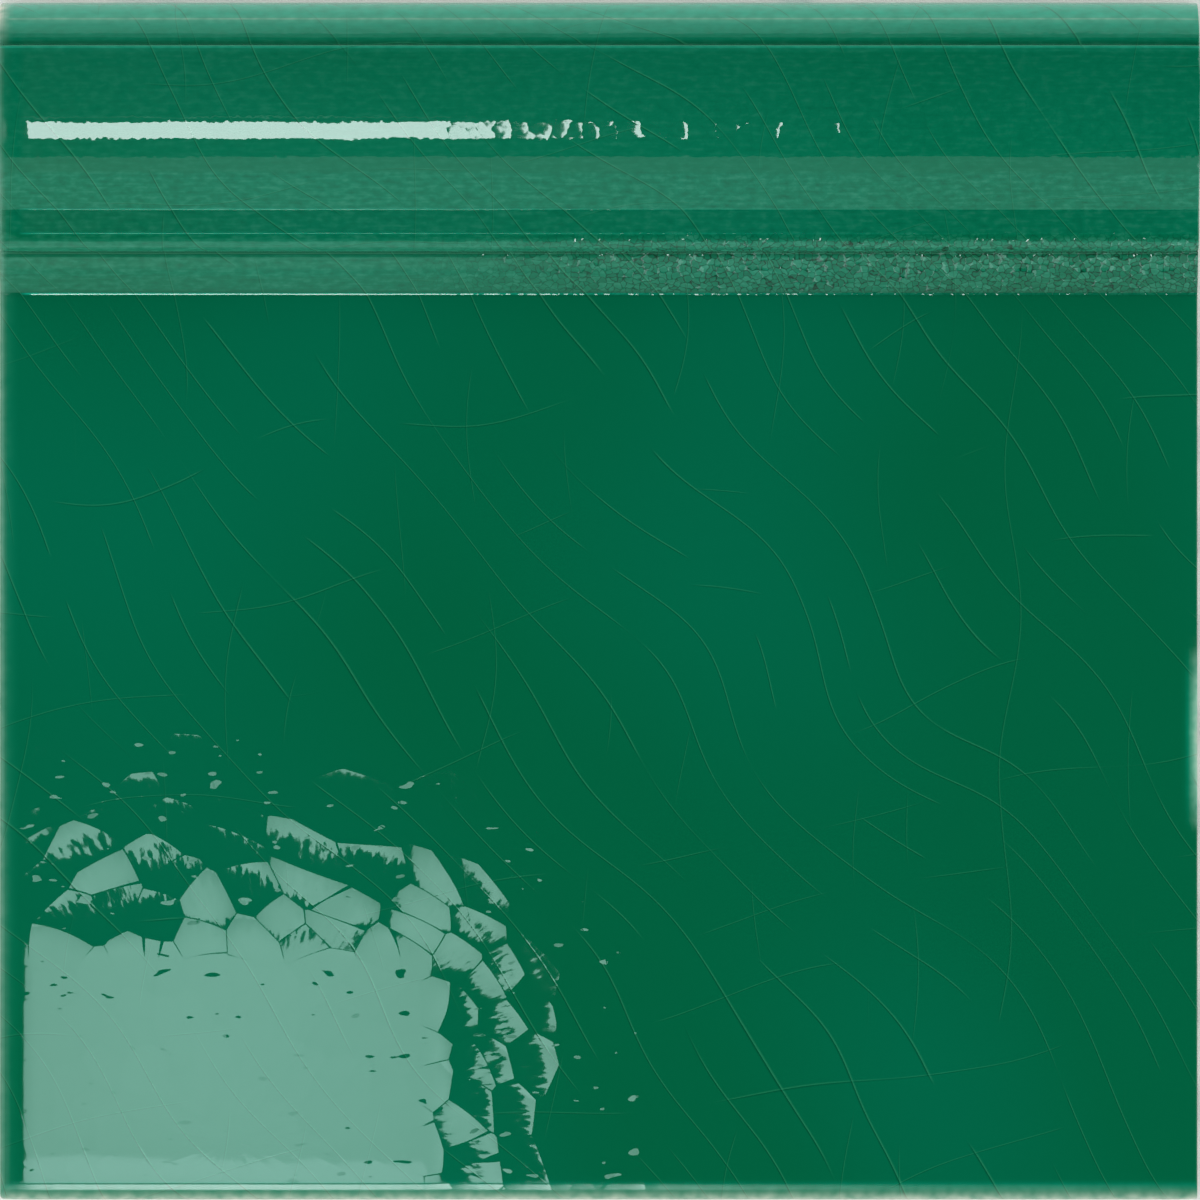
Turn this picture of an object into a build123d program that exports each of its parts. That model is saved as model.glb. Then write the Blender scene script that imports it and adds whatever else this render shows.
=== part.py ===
from build123d import *
import os
from math import radians, sqrt, tan

# Skirting tile: one piece of glazed ceramic that finishes the foot of a tiled wall.
# It lies on its back. X runs along the wall, +Y points up the wall to the moulded head, and +Z
# points out of the wall. The origin is the middle of the back.
# The section is drawn as (down, out): down from the head's top edge, out from the back.

# Driving dimensions, in millimetres and degrees

# The tile as a whole
TILE_WIDTH = 152.0
TILE_HEIGHT = 152.0
FIELD_THICKNESS = 8.5
FOOT_ARRIS_RADIUS = 1.9
END_ARRIS_RADIUS = 1.0

# The roll along the head, with the quirk that parts its lip from its crown
ROLL_RADIUS = 13.9
ROLL_RISE = 5.75
FLANK_SLOPE = 35.0
FLANK_FOOT_RADIUS = 1.2
LIP_WIDTH = 5.35
QUIRK_RADIUS = 0.45

# The ledge under the roll, and the rounded nose at its edge
LEDGE_WIDTH = 5.3
NOSE_RADIUS = 2.2
RISER_FLAT = 0.4
NOSE_HOLLOW_RADIUS = 0.45

# The ovolo that brings the moulding down to the field
OVOLO_RISE = 3.6
OVOLO_TOP_RUN = 2.7
OVOLO_TOP_SLOPE = 28.0
OVOLO_FOOT_SLOPE = 45.0
OVOLO_RADIUS = 6.0
OVOLO_FOOT_RADIUS = 1.5

# The back: a relief behind the roll, and grooves that key the tile to its bed
RELIEF_WIDTH = 14.0
RELIEF_DEPTH = 8.0
RELIEF_DRAFT = 6.0
RELIEF_CORNER_RADIUS = 2.5
KEY_WIDTH = 5.0
KEY_DEPTH = 0.9
KEY_DRAFT = 30.0
KEY_PITCH = 12.0
KEY_MARGIN = 10.0

# Levels out from the back, each standing on the one below it
nose_hollow_run = NOSE_HOLLOW_RADIUS * tan(radians((90 - OVOLO_TOP_SLOPE) / 2))
ovolo_level = FIELD_THICKNESS + OVOLO_RISE
ledge_level = ovolo_level + nose_hollow_run + RISER_FLAT + NOSE_RADIUS
crown_level = ledge_level + ROLL_RISE
roll_spring = crown_level - ROLL_RADIUS

section_plane = Plane(origin=(0, TILE_HEIGHT / 2, 0), x_dir=(0, -1, 0), z_dir=(-1, 0, 0))

with BuildPart() as tile:
    # The face in section: straight up the head's top edge, round the roll to the tangent flank,
    # then ledge, nose, ovolo, field and foot, with every corner between them rounded
    with BuildSketch(section_plane):
        with BuildLine():
            top_edge = Line((0, 0), (0, roll_spring))
            roll = JernArc(top_edge @ 1, (0, 1), ROLL_RADIUS, -(90 + FLANK_SLOPE))
            flank_top = roll @ 1
            flank_run = (flank_top.Y - ledge_level) / tan(radians(FLANK_SLOPE))
            flank_foot = flank_top.X + flank_run
            nose = flank_foot + LEDGE_WIDTH
            ovolo_crest = nose + OVOLO_TOP_RUN
            crest_level = ovolo_level - OVOLO_TOP_RUN * tan(radians(OVOLO_TOP_SLOPE))
            crest_rise = crest_level - FIELD_THICKNESS
            ovolo_foot = ovolo_crest + crest_rise / tan(radians(OVOLO_FOOT_SLOPE))
            face = FilletPolyline(
                flank_top,
                (flank_foot, ledge_level),
                (nose, ledge_level),
                (nose, ovolo_level),
                (ovolo_crest, crest_level),
                (ovolo_foot, FIELD_THICKNESS),
                (TILE_HEIGHT, FIELD_THICKNESS),
                (TILE_HEIGHT, 0),
                radius=[
                    FLANK_FOOT_RADIUS,
                    NOSE_RADIUS,
                    NOSE_HOLLOW_RADIUS,
                    OVOLO_RADIUS,
                    OVOLO_FOOT_RADIUS,
                    FOOT_ARRIS_RADIUS,
                ],
            )
            Line(face @ 1, top_edge @ 0)
        make_face()
    extrude(amount=TILE_WIDTH / 2, both=True)

    # Rounded arrises at both ends, along the whole face but not along the back
    ends = tile.faces().filter_by(Axis.X)
    fillet(ends.edges().filter_by(lambda edge: edge.center().Z > 0), END_ARRIS_RADIUS)

    # Cuts that run from end to end: the quirk, the relief behind the roll and the keys
    with BuildSketch(section_plane):
        lip_to_crown = ROLL_RADIUS - LIP_WIDTH
        lip_level = roll_spring + sqrt(ROLL_RADIUS**2 - lip_to_crown**2)
        with Locations((LIP_WIDTH, lip_level)):
            Circle(QUIRK_RADIUS)

        relief_roof = RELIEF_WIDTH / 2 - RELIEF_DEPTH * tan(radians(RELIEF_DRAFT))
        with BuildLine(Location((ROLL_RADIUS, 0))):
            FilletPolyline(
                (-RELIEF_WIDTH / 2, 0),
                (-relief_roof, RELIEF_DEPTH),
                (relief_roof, RELIEF_DEPTH),
                (RELIEF_WIDTH / 2, 0),
                radius=RELIEF_CORNER_RADIUS,
            )
            Line((RELIEF_WIDTH / 2, 0), (-RELIEF_WIDTH / 2, 0))
        make_face()

        keys_start = nose + KEY_MARGIN
        keys_end = TILE_HEIGHT - KEY_MARGIN
        key_count = int((keys_end - keys_start) / KEY_PITCH) + 1
        with Locations(((keys_start + keys_end) / 2, KEY_DEPTH / 2)):
            with GridLocations(KEY_PITCH, KEY_PITCH, key_count, 1):
                Trapezoid(KEY_WIDTH, KEY_DEPTH, 90 - KEY_DRAFT)
    extrude(amount=TILE_WIDTH / 2, both=True, mode=Mode.SUBTRACT)

os.makedirs("parts", exist_ok=True)
export_step(tile.part, "parts/skirting_tile.step")

print(f"crown {crown_level:.2f} mm, ledge {ledge_level:.2f} mm, top edge flat {roll_spring:.2f} mm")
print(f"flank foot {flank_foot:.2f}, nose {nose:.2f}, ovolo foot {ovolo_foot:.2f} mm down")
print(f"keys {key_count}, volume {tile.part.volume / 1000:.1f} cm3")
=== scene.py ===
# %% [markdown]
# # A skirting tile in crackled green glaze
#
# The real tile is one piece of pressed clay. It was fired, its face was flooded with a dark green
# glaze, and it was fired again. As it cooled the glaze shrank more than the clay, so it crazed into
# shards. The part's solid already has the right size, so this script only dresses it: it sweeps a
# finer copy of the same section, paints the glaze, and lights it the way a flat glossy thing has to be
# lit. First the imported part is loaded, and its box is measured.

# %% Load the frame
from math import acos, asin, atan2, ceil, cos, hypot, pi, radians, sin, tan

import bmesh
import bpy
import numpy as np
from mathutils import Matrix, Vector, noise
from mathutils.geometry import delaunay_2d_cdt


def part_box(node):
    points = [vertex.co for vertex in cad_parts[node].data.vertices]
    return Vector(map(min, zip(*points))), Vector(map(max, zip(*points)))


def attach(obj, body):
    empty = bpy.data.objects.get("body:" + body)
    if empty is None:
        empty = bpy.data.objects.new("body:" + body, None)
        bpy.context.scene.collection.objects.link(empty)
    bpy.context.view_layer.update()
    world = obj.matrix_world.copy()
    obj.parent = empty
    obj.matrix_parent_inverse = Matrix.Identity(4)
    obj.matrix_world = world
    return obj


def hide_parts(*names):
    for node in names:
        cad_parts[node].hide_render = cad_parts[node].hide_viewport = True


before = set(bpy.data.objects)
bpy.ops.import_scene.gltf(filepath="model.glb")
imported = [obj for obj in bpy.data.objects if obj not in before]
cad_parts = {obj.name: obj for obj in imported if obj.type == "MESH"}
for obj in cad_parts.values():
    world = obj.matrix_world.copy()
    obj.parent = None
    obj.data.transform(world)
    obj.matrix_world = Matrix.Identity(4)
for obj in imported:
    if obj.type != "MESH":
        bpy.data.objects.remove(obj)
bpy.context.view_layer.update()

NODE = "skirting_tile"
MM = 0.001
low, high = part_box(NODE)
WIDTH, HEIGHT, CROWN = [(high[axis] - low[axis]) / MM for axis in range(3)]
print(f"tile {WIDTH:.1f} x {HEIGHT:.1f} mm, crown {CROWN:.2f} mm above its back")

# %% [markdown]
# ## The section
#
# The tile is the same from end to end, so one section makes nearly all of it. A section could be a
# long list of points, but a moulder thinks of it as straight runs with rounded bends: up the top edge,
# round the big roll, down its flank to a ledge, over a nose, down an ovolo to the flat field, and over
# the foot in two bends. So the outline is a few corners, each with a radius. Sizes are in millimetres,
# written as (down from the top edge, out from the back).

# %% Corners of the face
FIELD = 8.5
ROLL_RADIUS = 13.9
ROLL_RISE = 5.75
FLANK_SLOPE = radians(35.0)
LEDGE_WIDTH = 5.3
NOSE_RUN = 2.3
NOSE_SLOPE = radians(20.0)
OVOLO_RISE = 3.6
SHELF_RUN = 0.65
SHELF_SLOPE = radians(18.0)
OVOLO_TOP_RUN = 2.7
OVOLO_TOP_SLOPE = radians(30.0)
OVOLO_FOOT_SLOPE = radians(42.0)
FOOT_RUN = 1.3
FOOT_SLOPE = radians(22.0)

ledge_level = CROWN - ROLL_RISE
flank_lift = ROLL_RADIUS * (1 - cos(FLANK_SLOPE))
flank_foot = ROLL_RADIUS * (1 + sin(FLANK_SLOPE)) + (ROLL_RISE - flank_lift) / tan(FLANK_SLOPE)
nose = flank_foot + LEDGE_WIDTH
shelf_level = FIELD + OVOLO_RISE - SHELF_RUN * tan(SHELF_SLOPE)
crest = nose + OVOLO_TOP_RUN
crest_level = shelf_level - (OVOLO_TOP_RUN - SHELF_RUN) * tan(OVOLO_TOP_SLOPE)
ovolo_foot = crest + (crest_level - FIELD) / tan(OVOLO_FOOT_SLOPE)
face_corners = [
    (0, 0),
    (0, ledge_level + flank_foot * tan(FLANK_SLOPE)),
    (flank_foot, ledge_level),
    (nose - NOSE_RUN, ledge_level),
    (nose, ledge_level - NOSE_RUN * tan(NOSE_SLOPE)),
    (nose, FIELD + OVOLO_RISE),
    (nose + SHELF_RUN, shelf_level),
    (crest, crest_level),
    (ovolo_foot, FIELD),
    (HEIGHT - FOOT_RUN, FIELD),
    (HEIGHT, FIELD - FOOT_RUN * tan(FOOT_SLOPE)),
    (HEIGHT, 0),
]
runs = ["top edge", "flank", "ledge", "nose slope", "riser", "shelf", "ovolo", "ovolo fall"]
runs += ["field", "foot slope", "foot edge"]
bend_radii = {"roll": ROLL_RADIUS, "flank foot": 0.08, "nose edge": 0.08, "nose": 2.2, "nose hollow": 0.45}
bend_radii |= {"shelf edge": 2.0, "crest": 6.0, "ovolo foot": 0.8, "foot turn": 4.2, "foot arris": 0.85}
bends = list(bend_radii)
print(f"flank foot {flank_foot:.2f}, nose {nose:.2f}, ovolo foot {ovolo_foot:.2f} mm down")

# %% [markdown]
# ## Walking the outline
#
# To turn corners into smooth points we walk the outline and remember a heading. A straight run keeps
# its heading, and a rounded corner changes it steadily, so both are the same formula with a bend of
# zero or of one over the radius. The heading also gives the direction that the surface faces, which
# is needed later for sinking grooves into it and for rounding the ends.

# %% Runs and bends
RUN_STEP = 1.5
ARC_STEP = radians(3.5)


def trace(corners, radii):
    """Pieces (length, down, out, heading, bend, place): a run's place is whole, a bend's ends in .5."""
    pieces = []
    at = corners[0]
    for index, radius in enumerate([*radii, None]):
        corner = corners[index + 1]
        heading = atan2(corner[1] - at[1], corner[0] - at[0])
        length = hypot(corner[0] - at[0], corner[1] - at[1])
        if radius is None:
            pieces.append((length, *at, heading, 0, index))
            break
        after = corners[index + 2]
        turn = atan2(after[1] - corner[1], after[0] - corner[0]) - heading
        turn = (turn + pi) % (2 * pi) - pi
        run = length - abs(radius * tan(turn / 2))
        pieces.append((run, *at, heading, 0, index))
        at = (at[0] + run * cos(heading), at[1] + run * sin(heading))
        if radius:
            bend = turn / abs(turn) / radius
            pieces.append((abs(turn) * radius, *at, heading, bend, index + 0.5))
            end = heading + turn
            at = (at[0] + (sin(end) - sin(heading)) / bend, at[1] - (cos(end) - cos(heading)) / bend)
    return pieces


def stations(pieces, extra=()):
    """Arrays down, out, heading, place and distance along the walk, with extra stops where wanted."""
    rows = []
    passed = 0
    for length, down, out, heading, bend, place in pieces:
        steps = max(1, ceil(length / RUN_STEP), ceil(abs(bend) * length / ARC_STEP))
        stops = {length * step / steps for step in range(steps)}
        stops |= {stop - passed for stop in extra if passed < stop < passed + length}
        for stop in sorted(stops):
            here = heading + bend * stop
            if bend:
                step_down = (sin(here) - sin(heading)) / bend
                step_out = (cos(heading) - cos(here)) / bend
            else:
                step_down, step_out = stop * cos(heading), stop * sin(heading)
            rows.append((down + step_down, out + step_out, here, place, passed + stop))
        passed += length
    return np.array(rows).T


face_pieces = trace(face_corners, bend_radii.values())
print(f"{len(face_pieces)} runs and bends, {sum(piece[0] for piece in face_pieces):.1f} mm round the face")

# %% [markdown]
# ## Stations where they are needed
#
# A fine groove, the quirk, parts the roll's lip from its crown, and a pale hair of painted reflection
# runs along the lip. Both are too narrow for the usual steps, so extra stations are set across them.
# More stand close to every joint of a run and a bend, because smooth shading would smear a tight bend
# over the flat beside it. The quirk is sunk along the surface's own direction. The wet glaze pulled the
# field down a little towards the foot, where a reflection brightens, so it droops some hundredths of a
# millimetre there.

# %% Face stations
LIP_WIDTH = 5.35
QUIRK_DEPTH = 0.34
QUIRK_SPREAD = 0.34
QUIRK_STOPS = np.linspace(-1.0, 1.0, 33)
LIP_REFLECTION_LINE = 2.3
LIP_REFLECTION_STOPS = np.array([-0.3, -0.15, -0.08, 0, 0.08, 0.15, 0.3])
JOINT_STOPS = np.array([-0.55, -0.3, -0.12, -0.04, 0.04, 0.12, 0.3, 0.55])
DROOP = 0.04
DROOP_REACH = 9.0


def bell(distance, spread):
    """1 at no distance, falling off smoothly on both sides."""
    return np.exp(-((distance / spread) ** 2))


top_edge_run = face_pieces[0][0]
quirk_at = top_edge_run + ROLL_RADIUS * (pi / 2 - asin((ROLL_RADIUS - LIP_WIDTH) / ROLL_RADIUS))
lip_reflection_at = top_edge_run + ROLL_RADIUS * acos(1 - LIP_REFLECTION_LINE / ROLL_RADIUS)
joints = np.cumsum([piece[0] for piece in face_pieces])
joint_stops = (joints[:-1, None] + JOINT_STOPS).ravel()
extra_stops = [*(quirk_at + QUIRK_STOPS), *(lip_reflection_at + LIP_REFLECTION_STOPS), *joint_stops]
down, out, heading, place, along = stations(face_pieces, extra_stops)
down, out = np.append(down, HEIGHT), np.append(out, 0.0)
heading, place = np.append(heading, heading[-1]), np.append(place, place[-1])
along = np.append(along, joints[-1])

sunk = QUIRK_DEPTH * bell(along - quirk_at, QUIRK_SPREAD)
droop = DROOP * np.clip((down - HEIGHT + DROOP_REACH) / DROOP_REACH, 0, 1) ** 3
out = out * (1 - droop / FIELD)
facing = np.stack([-np.sin(heading), np.cos(heading)])
print(f"{len(down)} stations on the face, quirk {quirk_at - top_edge_run:.2f} mm round the roll")

# %% [markdown]
# ## The back
#
# Nobody sees a fixed tile's back, but a stranger who picks this part up will turn it over. Such tiles
# are hollowed behind a heavy moulding, so that the clay is about as thick everywhere and fires evenly,
# and grooves key the flat part into its bed of adhesive. The same walk makes them, with square corners
# where the radius is zero.

# %% Back stations
RELIEF_WIDTH = 14.0
RELIEF_DEPTH = 8.0
RELIEF_ROOF = RELIEF_WIDTH - 2 * RELIEF_DEPTH * tan(radians(6.0))
RELIEF_ROUND = 2.5
KEY_WIDTH = 5.0
KEY_DEPTH = 0.9
KEY_ROOF = KEY_WIDTH - 2 * KEY_DEPTH * tan(radians(30.0))
KEY_PITCH = 12.0
KEY_MARGIN = 10.0

keys_start, keys_end = nose + KEY_MARGIN, HEIGHT - KEY_MARGIN
key_count = int((keys_end - keys_start) / KEY_PITCH) + 1
back_corners = [(HEIGHT, 0)]
for step in range(key_count):
    middle = (keys_start + keys_end) / 2 + ((key_count - 1) / 2 - step) * KEY_PITCH
    back_corners += [
        (middle + KEY_WIDTH / 2, 0),
        (middle + KEY_ROOF / 2, KEY_DEPTH),
        (middle - KEY_ROOF / 2, KEY_DEPTH),
        (middle - KEY_WIDTH / 2, 0),
    ]
back_radii = [0.0] * (len(back_corners) - 1)
back_corners += [
    (ROLL_RADIUS + RELIEF_WIDTH / 2, 0),
    (ROLL_RADIUS + RELIEF_ROOF / 2, RELIEF_DEPTH),
    (ROLL_RADIUS - RELIEF_ROOF / 2, RELIEF_DEPTH),
    (ROLL_RADIUS - RELIEF_WIDTH / 2, 0),
    (0, 0),
]
back_radii += [0.0, RELIEF_ROUND, RELIEF_ROUND, 0.0]
back_down, back_out = stations(trace(back_corners, back_radii))[:2, 1:]
print(f"{key_count} keying grooves, {len(back_down)} stations on the back")

# %% [markdown]
# ## Sweeping the section from end to end
#
# A sweep is a row of copies of the section. Only the two ends differ: the glaze rounds over the arris,
# so near an end each copy shrinks into the clay along the direction that its surface faces, by what a
# quarter circle takes away. A gentle pillow reaches further in, as surface tension leaves it. Last, a
# hand-dipped glaze is never dead flat, so the face gets a slow swell of a few hundredths of a
# millimetre, always inwards, so that the tile keeps its size.

# %% Columns and their inset
ARRIS_LEFT, ARRIS_RIGHT = 0.5, 0.18
ARRIS_STEPS = 8
PILLOW = 0.07
PILLOW_REACH = 4.5
END_ZONE, END_STEP = 6.0, 0.5
COLUMN_STEP = 1.5


def end_columns(arris):
    """Distances from an end: close together round its arris, then in even steps."""
    quarter = np.linspace(pi / 2, 0, ARRIS_STEPS, endpoint=False)
    return np.concatenate([arris * (1 - np.sin(quarter)), np.arange(arris, END_ZONE, END_STEP)])


middle_count = int((WIDTH - 2 * END_ZONE) / COLUMN_STEP)
middle_columns = np.linspace(END_ZONE - WIDTH / 2, WIDTH / 2 - END_ZONE, middle_count)
left_columns = end_columns(ARRIS_LEFT) - WIDTH / 2
right_columns = WIDTH / 2 - end_columns(ARRIS_RIGHT)
columns = np.concatenate([left_columns, middle_columns, right_columns[::-1]])
from_end = WIDTH / 2 - np.abs(columns)
arris = np.where(columns < 0, ARRIS_LEFT, ARRIS_RIGHT)
round_off = arris - np.sqrt(arris**2 - np.clip(arris - from_end, 0, arris) ** 2)
pillow = PILLOW * np.clip(1 - from_end / PILLOW_REACH, 0, 1) ** 2
print(f"{len(columns)} columns from end to end, {middle_count} of them plain")

# %% Vertices of the sweep
SWELL = 0.03
SWELL_LENGTH = 26.0
SWELL_SEED = 3.7
SWELL_FROM_FLOOR = 3.0
EASE = 0.8


def soften(weights, reach):
    """Weights blurred along the section, by how far apart the stations are."""
    share = bell(along[:, None] - along[None, :], reach) * np.gradient(along)[None, :]
    return (share @ weights) / share.sum(1)


def swell(across, up):
    """How far the glaze lies under its highest, at a place on the face."""
    spot = Vector((across / SWELL_LENGTH, up / SWELL_LENGTH, SWELL_SEED))
    return SWELL * (0.5 - 0.5 * noise.noise(spot))


face_count, back_count = len(down), len(back_down)
ring = face_count + back_count
# The swell fades out at the back, where the face's first and last stations lie on the floor
lies_flat = np.clip(out / SWELL_FROM_FLOOR, 0, 1)
eased = np.stack([soften(part, EASE) for part in facing])
eased = eased / np.hypot(*eased)
points = np.zeros((len(columns), ring, 3))
for column, across in enumerate(columns):
    waves = np.array([swell(across, walked) for walked in along]) * lies_flat
    inset = facing * (sunk + waves) + eased * (round_off[column] + pillow[column])
    points[column, :, 0] = across
    points[column, :face_count, 1] = HEIGHT / 2 - (down - inset[0])
    points[column, :face_count, 2] = out - inset[1]
    points[column, face_count:, 1] = HEIGHT / 2 - back_down
    points[column, face_count:, 2] = back_out
sweep_count = len(columns) * ring
print(f"crown at {points[:, :, 2].max():.3f} mm, {sweep_count} vertices in the sweep")

# %% [markdown]
# ## Closing the ends
#
# Each end is one flat face. A single many-sided face would do for its shape, but the glaze creeps a
# little way down the end, and that border is painted by how far each vertex lies from the glazed
# edge. So the end is filled with triangles that have vertices inside too, by a constrained
# triangulation that keeps the outline.

# %% Triangles for the two ends
END_GRID = 1.6
END_CLEAR = 0.7


def outline_distance(spots, line):
    """Distance of each spot from the nearest vertex of a fine outline."""
    gaps = spots[:, None, :] - line[None, :, :]
    return np.sqrt((gaps**2).sum(2)).min(1)


def inside(spots, line):
    """Even-odd test of spots against a closed outline."""
    hit = np.zeros(len(spots), bool)
    for start, end in zip(line, np.roll(line, -1, 0)):
        crosses = (start[1] > spots[:, 1]) != (end[1] > spots[:, 1])
        rise = np.where(end[1] == start[1], 1e-9, end[1] - start[1])
        meets = (end[0] - start[0]) * (spots[:, 1] - start[1]) / rise + start[0]
        hit ^= crosses & (spots[:, 0] < meets)
    return hit


def fill_end(outline):
    """Inner spots of an end, and its triangles over outline and inner spots together."""
    grid = np.mgrid[-HEIGHT / 2 : HEIGHT / 2 : END_GRID, 0:CROWN:END_GRID].reshape(2, -1).T
    grid = grid[inside(grid, outline)]
    grid = grid[outline_distance(grid, outline) > END_CLEAR]
    spots = [Vector(spot) for spot in np.vstack([outline, grid])]
    made = delaunay_2d_cdt(spots, [], [list(range(len(outline)))], 1, 1e-6)
    first = [sources[0] for sources in made[3]]
    return grid, [[first[corner] for corner in triangle] for triangle in made[2]]


end_fills = [(points[column, :, 1:], *fill_end(points[column, :, 1:])) for column in (0, -1)]
for outline, inner, triangles in end_fills:
    print(f"{len(outline)} corners, {len(inner)} spots inside, {len(triangles)} triangles")

# %% Mesh of the whole tile
vertices = points.reshape(-1, 3)
faces = []
for column in range(len(columns) - 1):
    for corner in range(ring):
        after = (corner + 1) % ring
        left, right = column * ring, (column + 1) * ring
        faces.append((left + corner, left + after, right + after, right + corner))
for end, (outline, inner, triangles) in enumerate(end_fills):
    start = len(vertices)
    across = np.full(len(inner), columns[-end])
    vertices = np.vstack([vertices, np.column_stack([across, inner])])
    edge = end * (sweep_count - ring)
    for triangle in triangles:
        corners = [edge + spot if spot < ring else start + spot - ring for spot in triangle]
        faces.append(tuple(corners if end == 0 else corners[::-1]))

mesh = bpy.data.meshes.new("glazed_tile")
mesh.from_pydata((vertices * MM).tolist(), [], faces)
mesh.validate()
tile = bpy.data.objects.new("glazed_tile", mesh)
bpy.context.collection.objects.link(tile)

shell = bmesh.new()
shell.from_mesh(mesh)
bmesh.ops.recalc_face_normals(shell, faces=shell.faces)
open_edges = sum(not edge.is_manifold for edge in shell.edges)
volume = shell.calc_volume()
shell.to_mesh(mesh)
shell.free()
print(f"{len(mesh.polygons)} faces, {open_edges} open edges, volume {volume * 1e6:.1f} cm3")

# %% [markdown]
# ## Soft and sharp edges
#
# Glossy surfaces show every kink, so the face is shaded smooth. The back's grooves and the arrises
# round the back are real edges, so anything sharper than about thirty degrees stays crisp, and the two
# flat ends are shaded flat.

# %% Shading of the mesh
SHARP = radians(32.0)
FACES_THE_END = 0.999

ends = np.array([abs(polygon.normal.x) > FACES_THE_END for polygon in mesh.polygons])
mesh.polygons.foreach_set("use_smooth", ~ends)
mesh.set_sharp_from_angle(angle=SHARP)
print(f"{ends.sum()} flat faces on the ends")

# %% [markdown]
# ## Where the glaze lies thick and thin
#
# Molten glaze runs off edges and gathers in hollows. Thin glaze lets the pale clay through, so the lip,
# the foot and the ends look lighter, and the lip's paleness is partly painted light; pooled glaze looks
# darker, and that darkening in the hollows is partly painted shade. Shader nodes can guess this from
# curvature, but we know the section exactly, so every run and bend gets its share by name. Other tables
# say where the glaze is dull, where the drawn striations show, how strongly it is crazed (most on the
# nose and the ovolo), where it is worn through, where a painted sheen lies on the nose and the ovolo, and
# where a faint painted sheen lies on the roll and the ledge.

# %% Shares by run and bend
SOFTEN = 0.35
thin_of = {"roll": 0.065, "flank": 0.13, "ledge": 0.09, "nose": 0.22, "shelf edge": 0.13, "ovolo": 0.15}
thin_of |= {"crest": 0.12, "ovolo fall": 0.08, "top edge": 0.7, "foot turn": 0.28, "foot slope": 0.36}
thin_of |= {"foot arris": 0.36, "foot edge": 1.0}
# Glaze pooled in the hollows, and painted shade in the same places
thick_glaze_and_shade_of = {"flank foot": 0.1, "nose hollow": 1.0, "shelf": 0.9, "ovolo foot": 1.0}
dull_of = {"foot turn": 0.22, "foot slope": 0.4, "foot arris": 0.6, "foot edge": 1.0}
streak_of = {"roll": 0.4, "flank": 1.0, "flank foot": 1.0, "ledge": 0.7, "nose edge": 0.7, "nose slope": 0.9}
streak_of |= {"nose": 0.9, "shelf edge": 1.0, "ovolo": 1.0, "crest": 1.0, "ovolo fall": 0.8}
craze_of = {"flank": 0.05, "flank foot": 0.15, "nose slope": 0.2, "nose": 0.5, "riser": 0.6}
craze_of |= {"nose hollow": 0.6, "shelf": 0.6, "shelf edge": 0.6, "ovolo": 0.6, "crest": 0.6}
craze_of |= {"ovolo fall": 0.6, "ovolo foot": 0.2}
# Worn through on the foot edge; painted sheen on the nose, the shelf edge and the ovolo
wear_and_sheen_of = {"nose": 0.015, "shelf edge": 0.012, "ovolo": 0.012, "foot edge": 1.0}
# Painted sheen round the roll's highlight and on the ledge
painted_sheen_of = {"roll": 0.004, "ledge": 0.006}


def on(name):
    """Which stations lie on a named run or bend of the face."""
    return place == (runs.index(name) if name in runs else bends.index(name) + 0.5)


def by_place(table):
    """A table's shares at every station, softened where runs and bends meet."""
    return soften(sum(on(name) * weight for name, weight in table.items()), SOFTEN)


pale_glaze_and_highlights_face, thick_glaze_and_shade_face = by_place(thin_of), by_place(thick_glaze_and_shade_of)
dull_face, streak_face = by_place(dull_of), by_place(streak_of)
craze_face, wear_and_sheen_face = by_place(craze_of), by_place(wear_and_sheen_of)
painted_sheen_face = by_place(painted_sheen_of)
print(f"glaze: dullest {dull_face.max():.2f}, strongest crazing {craze_face.max():.2f}")

# %% [markdown]
# Some places are finer than a run or a bend. The lip's glaze thins towards its top, where its paleness
# is partly painted light, and a pale hair of painted reflection runs along it. A painted highlight lies
# under the quirk, and painted highlight lines follow three corners of the moulding. The highlight on the
# roll breaks up into larger flakes than the grains lower down, and the foot wears through steadily
# towards its edge. The last value says how far a station lies beyond the glazed edge.

# %% Fine lines and the bare edges
LIP_PALE_AND_LIT, LIP_START, LIP_FALL = 0.95, 1.12, 1.1
LIP_REFLECTION_GLOW, LIP_REFLECTION_SPREAD = 0.05, 0.6
LIP_REFLECTION_HAIR, LIP_REFLECTION_HAIR_SPREAD = 0.16, 0.11
BELOW_QUIRK, BELOW_SPREAD = 0.75, 0.2
QUIRK_HIGHLIGHT_PALE, QUIRK_HIGHLIGHT_SHEEN = 0.5, 0.01
LINE_SPREAD = 0.11
# Painted highlight lines at three corners: their offset along the section and their strength
painted_highlights_of = {"flank foot": (-0.08, 0.4), "nose edge": (0, 0.4), "ovolo foot": (0.1, 1.1)}
STRIP_FROM, STRIP_TO, STRIP_CRAZE = 13.0, 19.0, 0.034
FLAKE, GRAIN = 1.9, 0.85
FOOT_WEAR, FOOT_REACH, FOOT_FALL = 0.4, 2.0, 2.2
TOP_EDGE_CREEP = 0.45
NO_GLAZE = 99.0

lip = on("roll") & (along < quirk_at)
# Painted reflection: a pale hair with a soft glow along the lip, added to the wear and sheen below
painted_lip_reflection = LIP_REFLECTION_GLOW * bell(along - lip_reflection_at, LIP_REFLECTION_SPREAD) * lip
painted_lip_reflection += LIP_REFLECTION_HAIR * bell(along - lip_reflection_at, LIP_REFLECTION_HAIR_SPREAD)
# Painted highlight: a bright line just under the quirk, paler glaze with a little sheen
painted_quirk_highlight = bell(along - quirk_at - BELOW_QUIRK, BELOW_SPREAD)
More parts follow.
